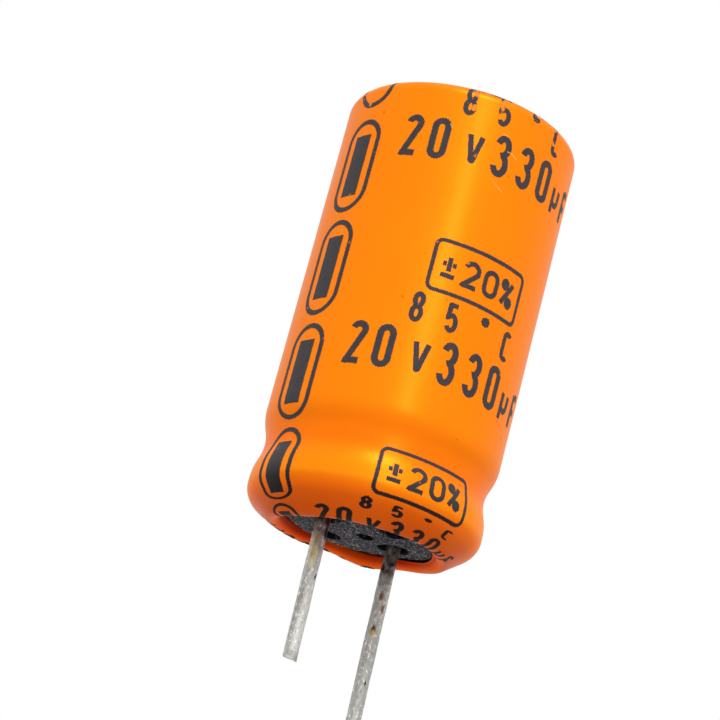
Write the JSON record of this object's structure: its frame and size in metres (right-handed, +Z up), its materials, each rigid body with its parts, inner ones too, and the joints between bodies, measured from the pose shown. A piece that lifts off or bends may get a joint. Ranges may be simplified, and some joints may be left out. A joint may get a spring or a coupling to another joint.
{
  "type": "electrolytic capacitor",
  "caption": "Radial aluminium electrolytic capacitor in an orange shrink sleeve, with a rubber bung, tinned leads and printed polarity marks.",
  "frame": {"origin": "midway between the leads on the board's surface, where the sleeve's lip meets it", "axes": "+Z up the body's axis away from the board, +X from the cathode lead towards the anode lead"},
  "size_m": [0.0132, 0.0132, 0.037],
  "materials": {
    "sleeve": "glossy orange shrink film with dark print",
    "can": "satin drawn aluminium",
    "seal": "matt moulded rubber, dusty",
    "lead": "dull tinned wire with flux stains",
    "terminal": "matt aluminium, cold formed",
    "winding": "paper and etched foil, wound tight",
    "tape": "gummed paper tape"
  },
  "bodies": {
    "root": {"sleeve": "sleeve", "can": "can", "seal": "seal", "cathode_lead": "lead", "anode_lead": "lead", "cathode_tab": "terminal", "anode_tab": "terminal", "winding": "winding", "stop_tape": "tape"}
  },
  "joints": []
}
